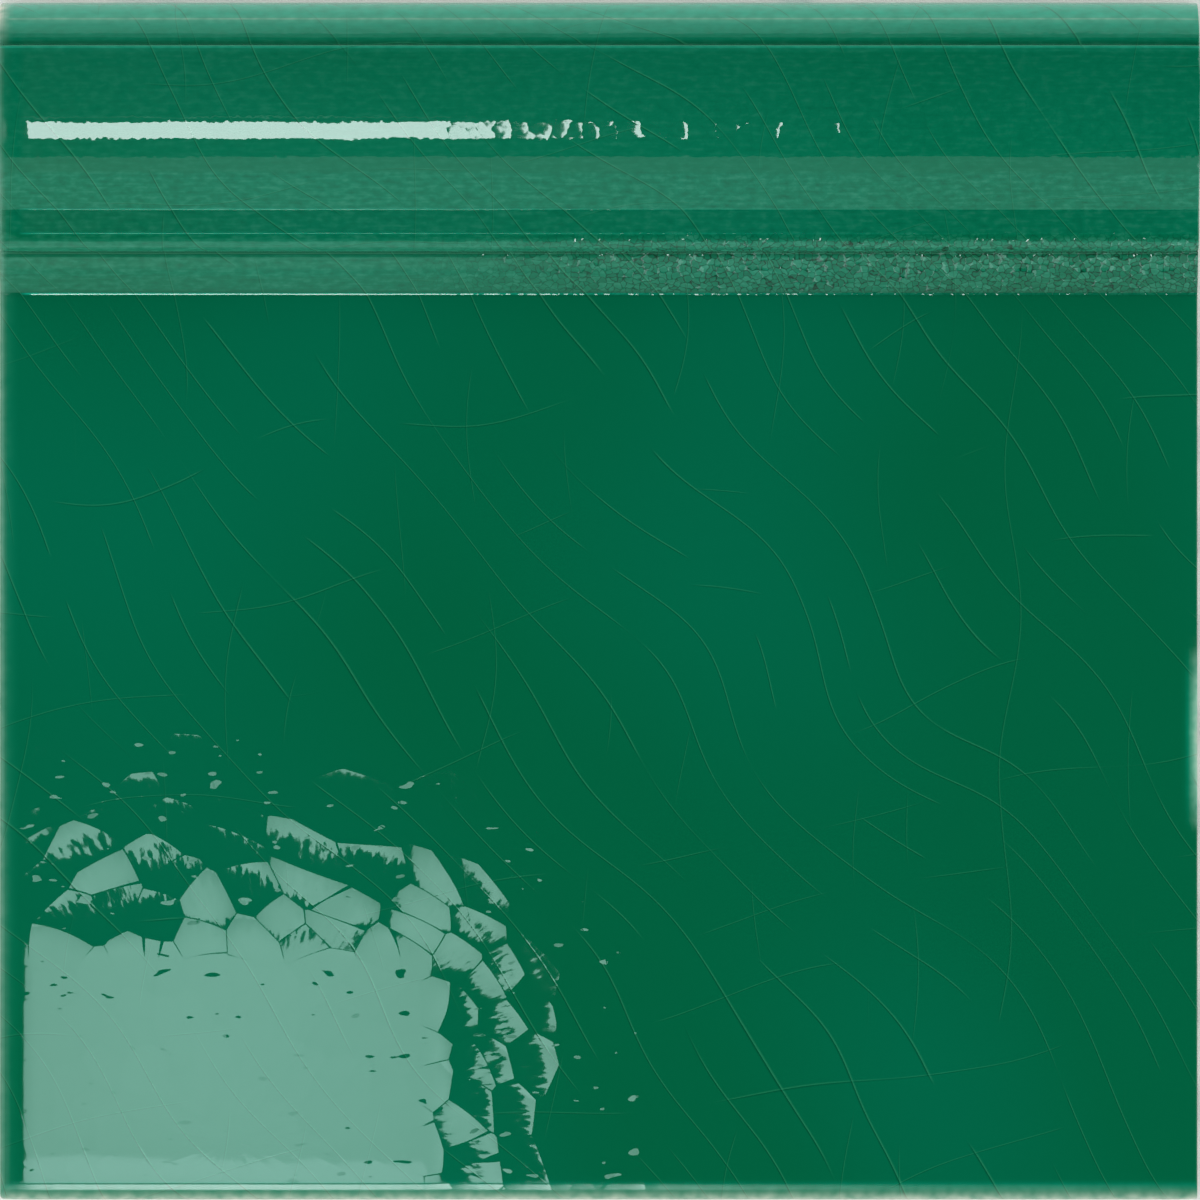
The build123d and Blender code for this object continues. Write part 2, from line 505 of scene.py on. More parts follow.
# The lip's glaze thins towards its top, and its paleness there is partly painted light
pale_glaze_and_highlights_face[lip] = LIP_PALE_AND_LIT * np.clip(LIP_START - LIP_FALL * down[lip] / LIP_WIDTH, 0, 1)
pale_glaze_and_highlights_face += QUIRK_HIGHLIGHT_PALE * painted_quirk_highlight
painted_highlights_face = np.zeros(face_count)
for name, (shift, weight) in painted_highlights_of.items():
    painted_highlights_face += weight * bell(along - along[on(name)].mean() - shift, LINE_SPREAD)

# Glaze pools in the quirk, and its darkness there is also painted shade
thick_glaze_and_shade_face = np.maximum(thick_glaze_and_shade_face, sunk / QUIRK_DEPTH)
on_strip = on("roll") & (down > STRIP_FROM) & (down < STRIP_TO)
craze_face += soften(on_strip * STRIP_CRAZE, SOFTEN)
grain_face = np.where(down < STRIP_TO, FLAKE, GRAIN)
foot_wear = FOOT_WEAR * np.clip(1 - (HEIGHT - down) / FOOT_REACH, 0, 1) ** FOOT_FALL
# The painted reflection on the lip and the quirk's painted highlight are added to the wear and sheen
wear_and_sheen_face = np.maximum(wear_and_sheen_face, foot_wear) + painted_lip_reflection + QUIRK_HIGHLIGHT_SHEEN * painted_quirk_highlight
bare_face = np.zeros(face_count)
bare_face[on("top edge")] = (top_edge_run - along[on("top edge")]) * TOP_EDGE_CREEP
bare_face[on("foot edge")] = along[on("foot edge")] - along[on("foot edge")][0]
print(f"glaze: thinnest {pale_glaze_and_highlights_face.max():.2f}, deepest pool {thick_glaze_and_shade_face.max():.2f}")

# %% [markdown]
# The ends wear too. The left end is thinly glazed all the way down and nearly bare beside the lip. The
# right end is well covered, but halfway down its edge carries a pale painted highlight. The painted
# highlight lines and the painted sheen show mostly on the left, and the lip is a little paler on the
# right.

# %% Wear on the ends
LEFT_THIN, LEFT_THIN_REACH = 0.22, 2.6
LEFT_WORN, LEFT_WORN_REACH = 0.08, 0.9
LEFT_HAZE, LEFT_HAZE_REACH = 0.015, 2.2
LEFT_DULL_REACH = 1.2
# A painted highlight halfway down the right end: where it lies, how pale it is and how much sheen
RIGHT_HIGHLIGHT_MIDDLE, RIGHT_HIGHLIGHT_HALF = 93.5, 12.0
RIGHT_HIGHLIGHT_PALE, RIGHT_HIGHLIGHT_PALE_REACH = 1.3, 1.9
RIGHT_HIGHLIGHT_SHEEN, RIGHT_HIGHLIGHT_SHEEN_REACH = 0.38, 1.2
LIP_WORN, LIP_WORN_FROM, LIP_WORN_REACH = 0.8, 1.0, 1.8
LINES_FROM, LINES_EASE = 2.6, 0.8
LINES_MIDDLE, LINES_FALL, LINES_LEAST = 0.45, 1.1, 0.12
LIP_GAIN = 0.3


def fade(distance, reach):
    """1 at no distance, easing to 0 at the reach."""
    return np.clip(1 - distance / reach, 0, 1) ** 1.5


to_left, to_right = (WIDTH / 2 + columns)[:, None], (WIDTH / 2 - columns)[:, None]
rightwards = (columns / WIDTH)[:, None]
# Painted highlight on the right end's edge, halfway down
right_highlight = np.clip(1 - ((down - RIGHT_HIGHLIGHT_MIDDLE) / RIGHT_HIGHLIGHT_HALF) ** 2, 0, 1)
beside_lip = fade(down - LIP_WORN_FROM, LIP_WIDTH)
left_share = np.clip((to_left - LINES_FROM) / LINES_EASE, 0, 1)
left_share = left_share * np.clip(LINES_MIDDLE - rightwards * LINES_FALL, LINES_LEAST, 1)
# The painted highlight lines join the thin glaze, mostly on the left
pale_glaze_and_highlights_sweep = pale_glaze_and_highlights_face * (1 + LIP_GAIN * np.clip(rightwards, 0, 1) * lip) + painted_highlights_face * left_share
pale_glaze_and_highlights_sweep = np.maximum(pale_glaze_and_highlights_sweep, LEFT_THIN * fade(to_left, LEFT_THIN_REACH))
pale_glaze_and_highlights_sweep = np.maximum(pale_glaze_and_highlights_sweep, RIGHT_HIGHLIGHT_PALE * right_highlight * fade(to_right, RIGHT_HIGHLIGHT_PALE_REACH))
left_worn = LEFT_WORN * fade(to_left, LEFT_WORN_REACH) + LEFT_HAZE * fade(to_left, LEFT_HAZE_REACH)
# The painted sheen joins the wear, mostly on the left
wear_and_sheen_sweep = np.maximum(wear_and_sheen_face + painted_sheen_face * left_share, left_worn)
wear_and_sheen_sweep = np.maximum(wear_and_sheen_sweep, RIGHT_HIGHLIGHT_SHEEN * right_highlight * fade(to_right, RIGHT_HIGHLIGHT_SHEEN_REACH))
wear_and_sheen_sweep = np.maximum(wear_and_sheen_sweep, LIP_WORN * beside_lip * fade(to_left, LIP_WORN_REACH))
dull_sweep = np.maximum(dull_face, fade(to_left, LEFT_DULL_REACH) ** 0.5)
print(f"worn through at most {wear_and_sheen_sweep.max():.2f}")

# %% [markdown]
# Every vertex now stores its values. Two more are worked out vertex by vertex, because they are slow
# enough for the mesh to carry: how cloudy the glaze is, and how far it creeps down the ends. The last
# is a map of the glaze as if it were peeled off and laid flat, so that cracks keep their size on the
# steep parts.

# %% Store the values on the mesh
CLOUD = 40.0
CLOUD_LEVEL, CLOUD_SLOW, CLOUD_SLOWER, CLOUD_FALL = 0.45, 0.9, 0.4, 0.5
CREEP, CREEP_WANDER, CREEP_LENGTH = 2.3, 2.0, 7.0

# Stored together: thin glaze with painted highlights and light, pooled glaze with painted shade, wear with
# painted sheen
on_face = {"cloud": 0, "pale_glaze_and_highlights": pale_glaze_and_highlights_sweep, "pool": thick_glaze_and_shade_face, "wear_and_sheen": wear_and_sheen_sweep, "craze": craze_face}
on_face |= {"grain": grain_face, "streak": streak_face, "dull": dull_sweep, "bare": bare_face}
on_back = {"pale_glaze_and_highlights": 1, "bare": NO_GLAZE}
store = {name: np.zeros(len(vertices)) for name in on_face}
for name, values in store.items():
    sweep = values[:sweep_count].reshape(len(columns), ring)
    sweep[:, :face_count] = on_face[name]
    sweep[:, face_count:] = on_back.get(name, 0)
store["pale_glaze_and_highlights"][sweep_count:] = 1
end_reach = [outline_distance(inner, outline[:face_count]) for outline, inner, triangles in end_fills]
store["bare"][sweep_count:] = np.concatenate(end_reach)
for index, spot in enumerate(vertices):
    clouds = CLOUD_SLOW * noise.noise(spot / CLOUD) + CLOUD_SLOWER * noise.noise(spot / CLOUD / 2)
    store["cloud"][index] = CLOUD_LEVEL + clouds - CLOUD_FALL * spot[0] / WIDTH
    store["bare"][index] -= CREEP + CREEP_WANDER * noise.noise(spot / CREEP_LENGTH)

field_start = np.flatnonzero(on("field"))[0]
sheet = np.zeros((len(vertices), 3))
sheet[:, :2] = vertices[:, :2]
sheet_up = HEIGHT / 2 - down[field_start] + along[field_start] - along
sheet[:sweep_count].reshape(len(columns), ring, 3)[:, :face_count, 1] = sheet_up
for name, values in store.items():
    mesh.attributes.new(name, "FLOAT", "POINT").data.foreach_set("value", values)
    print(f"{name}: {values.min():.2f} to {values.max():.2f}")
mesh.attributes.new("sheet", "FLOAT_VECTOR", "POINT").data.foreach_set("vector", sheet.ravel())

# %% [markdown]
# ## Shader arithmetic
#
# A glaze recipe is mostly sums and products of masks. Nodes can be added one by one, but a page of
# them is hard to read, so two small classes turn Python arithmetic into nodes: a recipe adds any node
# with its settings and sockets, and a signal is one socket that can be added, multiplied and so on.

# %% Signals


class Signal:
    """A value that flows from one shader node to others. Arithmetic on it adds Math nodes."""

    def __init__(self, recipe, socket):
        self.recipe = recipe
        self.socket = socket

    def output(self, name):
        """Another output of the same node."""
        return Signal(self.recipe, self.socket.node.outputs[name])

    def maths(self, operation, first, second):
        return self.recipe.node("ShaderNodeMath", {"operation": operation}, {0: first, 1: second})

    def __add__(self, other):
        return self.maths("ADD", self, other)

    def __radd__(self, other):
        return self.maths("ADD", other, self)

    def __sub__(self, other):
        return self.maths("SUBTRACT", self, other)

    def __rsub__(self, other):
        return self.maths("SUBTRACT", other, self)

    def __mul__(self, other):
        return self.maths("MULTIPLY", self, other)

    def __rmul__(self, other):
        return self.maths("MULTIPLY", other, self)

    def __truediv__(self, other):
        return self.maths("DIVIDE", self, other)

    def __rtruediv__(self, other):
        return self.maths("DIVIDE", other, self)


print("signals ready")

# %% Recipes
HALF = (0.5, 0.5, 0.5)


class Recipe:
    """A node tree that nodes are added to, each with its settings first and then its sockets."""

    def __init__(self, tree):
        self.tree = tree
        tree.nodes.clear()

    def node(self, kind, settings=(), sockets=(), output=0):
        made = self.tree.nodes.new(kind)
        for name, value in dict(settings).items():
            setattr(made, name, value)
        for name, value in dict(sockets).items():
            if isinstance(value, Signal):
                self.tree.links.new(value.socket, made.inputs[name])
            else:
                made.inputs[name].default_value = value
        return Signal(self, made.outputs[output]) if made.outputs else None

    def stored(self, name, output="Fac"):
        return self.node("ShaderNodeAttribute", {"attribute_name": name}, {}, output)

    def vectors(self, operation, first, second):
        return self.node("ShaderNodeVectorMath", {"operation": operation}, {0: first, 1: second})

    def scaled(self, vector, factor):
        return self.node("ShaderNodeVectorMath", {"operation": "SCALE"}, {0: vector, "Scale": factor})

    def turned(self, vector, angle):
        sockets = {"Vector": vector, "Angle": angle}
        return self.node("ShaderNodeVectorRotate", {"rotation_type": "Z_AXIS"}, sockets)

    def parts(self, vector):
        """The vector's X; its Y and Z are the node's other outputs."""
        return self.node("ShaderNodeSeparateXYZ", {}, {0: vector})

    def blend(self, factor, first, second):
        return self.node("ShaderNodeMix", {"data_type": "RGBA"}, {0: factor, 6: first, 7: second}, 2)

    def step(self, value, start, end):
        settings = {"interpolation_type": "SMOOTHSTEP"}
        sockets = {"Value": value, "From Min": start, "From Max": end}
        return self.node("ShaderNodeMapRange", settings, sockets)

    def cloud(self, vector, size, detail=2.0, output="Fac"):
        sockets = {"Vector": vector, "Scale": 1 / size, "Detail": detail}
        return self.node("ShaderNodeTexNoise", {"noise_dimensions": "2D"}, sockets, output)

    def stretched_cloud(self, vector, stretch, detail):
        return self.cloud(self.vectors("MULTIPLY", vector, stretch), 1.0, detail)

    def cells(self, vector, feature="F1", output="Position"):
        """Random cells: where the nearest middle is, or how far the second nearest."""
        settings = {"voronoi_dimensions": "2D", "feature": feature}
        return self.node("ShaderNodeTexVoronoi", settings, {"Vector": vector, "Scale": 1}, output)


print("recipes ready")

# %% [markdown]
# ## Long cracks
#
# The cracks that show best run in a family, sweeping down to the right, some millimetres apart. Two
# thinner families cross them, one nearly level and one nearly upright. A family of parallel wandering
# lines is a one-dimensional cell pattern: turn the sheet so that one coordinate runs across the lines,
# let a slow noise push that coordinate about, and measure the distance to the nearest border between
# random cells. A second noise, stretched along the lines, hides stretches of them, as real crazing shows
# only where light catches it. One wall of a crack gets painted shade and the other a painted highlight.

# %% A family of cracks
CRACK_LEAN = 0.004
CRACK_EVEN = 0.9
SEEN_STRETCH = (1 / 5, 1 / 22, 0)
SEEN_SOFT = 0.12


def cells_on_line(recipe, place, feature="F1", output="W"):
    """Random cells along a line: their middles, or how near their borders are."""
    settings = {"voronoi_dimensions": "1D", "feature": feature}
    sockets = {"W": place, "Scale": 1, "Randomness": CRACK_EVEN}
    return recipe.node("ShaderNodeTexVoronoi", settings, sockets, output)


def cracks(recipe, sheet, drift, turn, spacing, sway, shown, half_width):
    """One family: its walls, -1 on one side and 1 on the other, and the glaze's lean into them."""
    turned = recipe.turned(sheet, turn)
    pushed = (recipe.parts(turned) + drift * (2 * sway)) / spacing
    border = cells_on_line(recipe, pushed, "DISTANCE_TO_EDGE", "Distance") * spacing
    catches_light = recipe.stretched_cloud(turned, SEEN_STRETCH, 0.0)
    seen = recipe.step(catches_light, 1 - shown, 1 + SEEN_SOFT - shown)
    wall = recipe.step(border, half_width, 0) * seen
    side = recipe.node("ShaderNodeMath", {"operation": "SIGN"}, {0: pushed - cells_on_line(recipe, pushed)})
    # 1 on the wall that gets painted shade, -1 on the wall that gets a painted highlight
    walls = wall * side
    return walls, recipe.scaled((cos(turn), -sin(turn), 0), walls * CRACK_LEAN)


print("crack families ready")

# %% The three families together
LONG = {"turn": radians(-38), "spacing": 5.8, "sway": 7.0, "shown": 0.66, "half_width": 0.21}
LEVEL = {"turn": radians(-100), "spacing": 13.0, "sway": 6.0, "shown": 0.5, "half_width": 0.18}
UPRIGHT = {"turn": radians(2), "spacing": 11.0, "sway": 5.0, "shown": 0.5, "half_width": 0.17}
LEVEL_SHARE, UPRIGHT_SHARE = 0.7, 0.6


def all_cracks(recipe, sheet, drift):
    """Walls and lean of the long, level and upright cracks."""
    push = recipe.parts(drift)
    long_walls, long_lean = cracks(recipe, sheet, push, **LONG)
    level_walls, level_lean = cracks(recipe, sheet, push.output("Y"), **LEVEL)
    upright_walls, upright_lean = cracks(recipe, sheet, push.output("Z"), **UPRIGHT)
    walls = long_walls + level_walls * LEVEL_SHARE + upright_walls * UPRIGHT_SHARE
    lean = recipe.vectors("ADD", recipe.vectors("ADD", long_lean, level_lean), upright_lean)
    return walls, lean


print("three families ready")

# %% [markdown]
# ## Shards round a knock
#
# Between the cracks each shard of glaze leans its own way by a fraction of a degree, and its rim curls
# up a little. That can't be seen in the dark green, but where a lamp is mirrored its picture breaks up
# into scales along the border. Low on the left they lie in rings, as glaze breaks round a knock, so
# their cells are laid out by angle and distance from one spot instead of across and up. Nearer to the
# corner the glaze stayed whole, and far away the shards lie flatter again. The lean is added straight to
# the surface's direction, because bump from a height map would blur the shards' borders.

# %% Where the glaze is broken
KNOCK = (-47.0, -70.0, 0.0)
KNOCK_PUSH = 9.0
CALM_RIGHT, CALM_TOP = -19.0, -42.0
CALM_FROM, CALM_TO, CALM_LEAN = -4.0, 2.0, 0.06
TOP_FROM, TOP_TO, TOP_LOSS = -40.0, -18.0, 0.3
FAR_FROM, FAR_TO, FAR_LOSS = 36.0, 70.0, 0.5
RIGHT_FROM, RIGHT_TO, RIGHT_LOSS = -15.0, -4.0, 0.4


def round_the_knock(recipe, sheet, drift):
    """Vector from the knock on a sheet that is pushed about a little, its length and its angle."""
    pushed = recipe.vectors("ADD", sheet, recipe.scaled(drift, KNOCK_PUSH))
    off = recipe.vectors("SUBTRACT", pushed, KNOCK)
    parts = recipe.parts(off)
    radius = recipe.node("ShaderNodeVectorMath", {"operation": "LENGTH"}, {0: off}, "Value")
    angle = recipe.node("ShaderNodeMath", {"operation": "ARCTAN2"}, {0: parts.output("Y"), 1: parts})
    return off, radius, angle


def breakage(recipe, sheet, radius):
    """Which places lie outside the calm corner, and how strongly shards lean there."""
    place = recipe.parts(sheet)
    beyond = {0: place - CALM_RIGHT, 1: place.output("Y") - CALM_TOP}
    beyond = recipe.node("ShaderNodeMath", {"operation": "MAXIMUM"}, beyond)
    outside = recipe.step(beyond, CALM_FROM, CALM_TO)
    strength = outside * (1 - CALM_LEAN) + CALM_LEAN
    strength = strength - recipe.step(place.output("Y"), TOP_FROM, TOP_TO) * TOP_LOSS
    strength = strength - recipe.step(radius, FAR_FROM, FAR_TO) * FAR_LOSS
    return outside, strength - recipe.step(place, RIGHT_FROM, RIGHT_TO) * RIGHT_LOSS


print(f"knock at {KNOCK[:2]} mm")

# %% Rings of shards
SHARDS_ROUND = 5.6
SHARD_DEPTH = 4.4
SEED = (21, 5, 0)
CURL, LEAN = 0.010, 0.009
GAP, GAP_LEAN = 0.03, 0.04
BRUSH_ROUND, BRUSH_OUT, RAGGED = 60.0, 0.5, 0.016
PIT_STRETCH, PIT_FROM, PIT_TO = (0.3, 0.75, 0), 0.745, 0.775
PIT_LEAN, FLAKE_LEAN, FAR_FLAKE_LEAN = 0.012, 0.047, 0.035
FAR_FLAKES_FROM, FAR_FLAKES_TO = 45.0, 62.0
LEVEL_PLANE = (1, 1, 0)


def knocked_shards(recipe, sheet, drift, craze):
    """Vector to add to the field's direction, and nothing to add to its shade."""
    off, radius, angle = round_the_knock(recipe, sheet, drift)
    outside, strength = breakage(recipe, sheet, radius)
    rings = {"X": angle * SHARDS_ROUND, "Y": radius / SHARD_DEPTH}
    spot = recipe.vectors("ADD", recipe.node("ShaderNodeCombineXYZ", {}, rings), SEED)
    shard = recipe.cells(spot)
    from_middle = shard.output("Distance")
    gap = recipe.step(recipe.cells(spot, "F2", "Distance") - from_middle, GAP, GAP / 2)
    rim = recipe.scaled(recipe.vectors("SUBTRACT", spot, shard), from_middle * (-4 * CURL))
    rim = recipe.parts(rim)
    chance = recipe.vectors("SUBTRACT", shard.output("Color"), HALF)

    brush = {"X": angle * BRUSH_ROUND, "Y": radius * BRUSH_OUT}
    ragged = (recipe.cloud(recipe.node("ShaderNodeCombineXYZ", {}, brush), 1.0) - 0.5) * RAGGED
    pits = recipe.step(recipe.stretched_cloud(sheet, PIT_STRETCH, 1.0), PIT_FROM, PIT_TO)
    far = recipe.step(radius, FAR_FLAKES_FROM, FAR_FLAKES_TO)
    flakes = pits * (PIT_LEAN - outside * (FLAKE_LEAN - far * FAR_FLAKE_LEAN))
    outward = ((rim.output("Y") + ragged + gap * GAP_LEAN) * strength + flakes) / radius
    sideways = recipe.scaled(recipe.turned(off, pi / 2), rim * strength / radius)
    leaned = recipe.vectors("ADD", recipe.scaled(off, outward), sideways)
    leaned = recipe.vectors("ADD", leaned, recipe.scaled(chance, strength * (2 * LEAN)))
    return recipe.vectors("MULTIPLY", leaned, LEVEL_PLANE), 0


print(f"shards {SHARD_DEPTH:.1f} mm deep ready")

# %% [markdown]
# ## Crazing and striations on the head
#
# The moulded head was drawn through a template, which leaves faint lines along it, and its glaze is
# crazed into grains about a millimetre across, more and more towards the right. Both make the edges of
# the long highlight ragged. The grains are plain two-dimensional cells. Each leans its own way, some are
# paler than others, and the seams between them look dark.

# %% Grains on the head
GRAINS_FROM, GRAINS_FULL = -34.0, 14.0
GRAIN_WANDER, GRAIN_WANDER_SIZE = 0.5, 0.7
GRAIN_LEAN, DISH = 0.22, 3.0
SEAM, SEAM_SHADE = 0.2, 1.2
TONE_SHADE, TONE_SHIFT = 0.7, 0.02
DRAWN_STRETCH, DRAWN_LEAN, DRAWN_SHADE = (0.14, 2.2, 0), 0.05, 0.35
MOTTLE_STRETCH, MOTTLE_SHADE = (0.7, 1.3, 0), 0.6
RIPPLE = (0.004, 0.03, 0)


def head_grains(recipe, sheet, drift, craze):
    """Vector to add to the head's direction, and how much darker or lighter each grain is."""
    wander = recipe.vectors("SUBTRACT", recipe.cloud(sheet, GRAIN_WANDER_SIZE, 0.0, "Color"), HALF)
    spot = recipe.vectors("ADD", sheet, recipe.scaled(wander, GRAIN_WANDER))
    spot = recipe.scaled(spot, 1 / recipe.stored("grain"))
    grain = recipe.cells(spot)
    from_middle = grain.output("Distance")
    seam = recipe.step(recipe.cells(spot, "F2", "Distance") - from_middle, SEAM, 0.0)
    dish = recipe.scaled(recipe.vectors("SUBTRACT", spot, grain), from_middle * DISH)
    chance = recipe.vectors("SUBTRACT", grain.output("Color"), HALF)
    crazed = craze * recipe.step(recipe.parts(sheet), GRAINS_FROM, GRAINS_FULL)
    leaned = recipe.scaled(recipe.vectors("SUBTRACT", chance, dish), crazed * GRAIN_LEAN)

    drawn = recipe.stretched_cloud(sheet, DRAWN_STRETCH, 2.0) - 0.5
    mottle = recipe.stretched_cloud(sheet, MOTTLE_STRETCH, 2.0) - 0.5
    striation = recipe.scaled((0, 1, 0), drawn * DRAWN_LEAN)
    ripple = recipe.vectors("MULTIPLY", wander, RIPPLE)
    leaned = recipe.vectors("ADD", leaned, recipe.vectors("ADD", striation, ripple))
    streaks = (drawn * DRAWN_SHADE + mottle * MOTTLE_SHADE) * recipe.stored("streak")
    shade = (recipe.parts(chance) * TONE_SHADE - seam * SEAM_SHADE + TONE_SHIFT) * crazed + streaks
    return recipe.vectors("MULTIPLY", leaned, LEVEL_PLANE), shade


def unbroken(recipe, sheet, drift, craze):
    """No lean and no shade, for glaze that only the long cracks run through."""
    return (0, 0, 0), 0


print(f"grains {GRAIN:.2f} mm across ready")

# %% [markdown]
# ## The glaze and the clay
#
# The glaze is a saturated green with hardly any red in it, slightly cloudy, paler where it is thin and
# where highlights and light are painted, darker where it pools and where shade is painted in the
# hollows, with painted shade and a painted highlight on the two walls of each crack. Its gloss is nearly
# perfect, except where it is worn dull on the foot and the left end. The clay is off-white, dull and
# grainy, with a grain in three dimensions so that it looks the same on every side.

# %% Glaze
GLAZE_DEEP = (0.0004, 0.112, 0.0465, 1)
GLAZE_CLOUD = (0.0004, 0.127, 0.062, 1)
GLAZE_THICK_AND_SHADED = (0.001, 0.078, 0.034, 1)
GLAZE_PALE_AND_HIGHLIGHTS = (0.004, 0.37, 0.23, 1)
GLAZE_SEAM = (0.0004, 0.028, 0.012, 1)
FROST = (0.07, 0.36, 0.25, 1)
# Painted shade and painted highlight for the two walls of a crack
CRACK_SHADE = (0.0006, 0.040, 0.014, 1)
CRACK_HIGHLIGHT = (0.04, 0.30, 0.15, 1)
CLAY = (0.73, 0.68, 0.58, 1)
GLINT = (0.66, 1.0, 0.94, 1)
THICK_AND_SHADE_SHARE, SEAM_SHARE, FROST_SHARE = 0.8, 1.2, 0.85
CRACK_SHADE_SHARE, CRACK_HIGHLIGHT_SHARE = 0.6, 0.34
PALE_AND_HIGHLIGHTS_RAGGED, WEAR_AND_SHEEN_RAGGED = 0.6, 1.5
GLAZE_ROUGH, DULL_ROUGH = 0.022, 0.45
GLAZE_IOR = 1.5
DRIFT_SIZE = 34.0


def glaze_shader(recipe, broken, ragged):
    """Shader of glaze that is broken the way the function broken says."""
    sheet = recipe.stored("sheet", "Vector")
    drift = recipe.vectors("SUBTRACT", recipe.cloud(sheet, DRIFT_SIZE, 0.0, "Color"), HALF)
    walls, crack_lean = all_cracks(recipe, sheet, drift)
    broken_lean, shade = broken(recipe, sheet, drift, recipe.stored("craze"))

    green = recipe.blend(recipe.stored("cloud"), GLAZE_DEEP, GLAZE_CLOUD)
    # Darker where the glaze pools, and painted shade in the hollows
    green = recipe.blend(recipe.stored("pool") * THICK_AND_SHADE_SHARE, green, GLAZE_THICK_AND_SHADED)
    # Paler where the glaze is thin, and where highlights and light are painted
    green = recipe.blend(recipe.stored("pale_glaze_and_highlights") * (1 + ragged * PALE_AND_HIGHLIGHTS_RAGGED), green, GLAZE_PALE_AND_HIGHLIGHTS)
    green = recipe.blend(shade * -SEAM_SHARE, green, GLAZE_SEAM)
    green = recipe.blend(shade * FROST_SHARE, green, FROST)
    # Painted shade on one wall of each crack and a painted highlight on the other
    green = recipe.blend(walls * CRACK_SHADE_SHARE, green, CRACK_SHADE)
    green = recipe.blend(walls * -CRACK_HIGHLIGHT_SHARE, green, CRACK_HIGHLIGHT)
    # Clay colour where the glaze is worn through, and a touch of it for painted sheen, reflection and
    # highlights
    green = recipe.blend(recipe.stored("wear_and_sheen") * (1 + ragged * WEAR_AND_SHEEN_RAGGED), green, CLAY)

    rough = GLAZE_ROUGH + recipe.stored("dull") * DULL_ROUGH
    lean = recipe.vectors("ADD", broken_lean, crack_lean)
    normal = recipe.vectors("ADD", recipe.node("ShaderNodeNewGeometry", {}, {}, "Normal"), lean)
    normal = recipe.node("ShaderNodeVectorMath", {"operation": "NORMALIZE"}, {0: normal})
    sockets = {"Base Color": green, "Roughness": rough, "Normal": normal}
    sockets |= {"IOR": GLAZE_IOR, "Specular Tint": GLINT}
    return recipe.node("ShaderNodeBsdfPrincipled", {}, sockets)


print("glaze ready")

# %% Clay
CLAY_SPECK = (0.60, 0.55, 0.46, 1)
CLAY_ROUGH = 0.85
CLAY_GRAIN = 0.9
CLAY_RELIEF = 0.05


def clay_shader(recipe):
    """Shader of bare fired clay."""
    spot = recipe.scaled(recipe.node("ShaderNodeTexCoord", {}, {}, "Object"), 1 / MM)
    sockets = {"Vector": spot, "Scale": 1 / CLAY_GRAIN, "Detail": 3.0}
    grain = recipe.node("ShaderNodeTexNoise", {"noise_dimensions": "3D"}, sockets)
    raised = recipe.node("ShaderNodeBump", {}, {"Height": grain * CLAY_RELIEF, "Distance": MM})
    colour = recipe.blend(grain, CLAY_SPECK, CLAY)
    sockets = {"Base Color": colour, "Roughness": CLAY_ROUGH, "Normal": raised}
    return recipe.node("ShaderNodeBsdfPrincipled", {}, sockets)


print("clay ready")

# %% [markdown]
# Glaze and clay are one fired piece and the border between them wanders, so one material holds both and
# mixes them by how far a vertex lies beyond the glazed edge. The head, the corner round the knock and
# the rest of the face get a material each from the same recipe, because their glaze is broken
# differently, and because the plain field then renders faster.

# %% Glaze over clay
RAGGED_SIZE = 1.6
BORDER_SOFT = 0.12
KNOCKED_RIGHT, KNOCKED_TOP = 8.0, -8.0


def glaze_over_clay(name, broken):
    """Material of glazed clay, added to the mesh."""
    material = bpy.data.materials.new(name)
    material.use_nodes = True
    recipe = Recipe(material.node_tree)
    ragged = recipe.cloud(recipe.stored("sheet", "Vector"), RAGGED_SIZE, 1.0) - 0.5
    uncovered = recipe.step(recipe.stored("bare") + ragged, -BORDER_SOFT, BORDER_SOFT)
    layers = {0: uncovered, 1: glaze_shader(recipe, broken, ragged), 2: clay_shader(recipe)}
    recipe.node("ShaderNodeOutputMaterial", {}, {"Surface": recipe.node("ShaderNodeMixShader", {}, layers)})
    mesh.materials.append(material)
    print(f"{name}: {len(recipe.tree.nodes)} nodes")


glaze_over_clay("glaze_on_the_field", unbroken)
glaze_over_clay("glaze_on_the_head", head_grains)
glaze_over_clay("glaze_round_the_knock", knocked_shards)
middles = np.empty(len(mesh.polygons) * 3)
mesh.polygons.foreach_get("center", middles)
middles = middles.reshape(-1, 3) / MM
head = middles[:, 1] > HEIGHT / 2 - down[field_start]
knocked = (middles[:, 0] < KNOCKED_RIGHT) & (middles[:, 1] < KNOCKED_TOP)
mesh.polygons.foreach_set("material_index", head + 2 * knocked)
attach(tile, "root")
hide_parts(NODE)

# %% [markdown]
# ## Camera
#
# The tile was seen straight on from well back, so it lies on its back here and the camera looks down
# on it. The roll stands nearer to the lens and just overruns the frame at both sides, which fixes the
# distance at nearly two metres and a half. The lens follows from how much of the frame the field fills.

# %% Camera above the tile
FRAME_PIXELS = 1200
FIELD_PIXELS = 1197.6
OFF_CENTRE = (0.17, 0.1)
SIGHT = 2400.0
SENSOR = 36.0

seen_width = WIDTH * FRAME_PIXELS / FIELD_PIXELS
camera = bpy.data.objects.new("camera", bpy.data.cameras.new("camera"))
camera.data.sensor_width = SENSOR
camera.data.lens = SENSOR * SIGHT / seen_width
camera.location = (OFF_CENTRE[0] * MM, OFF_CENTRE[1] * MM, (FIELD + SIGHT) * MM)
bpy.context.collection.objects.link(camera)
bpy.context.scene.camera = camera
print(f"lens {camera.data.lens:.0f} mm, {seen_width:.1f} mm of the field across the frame")

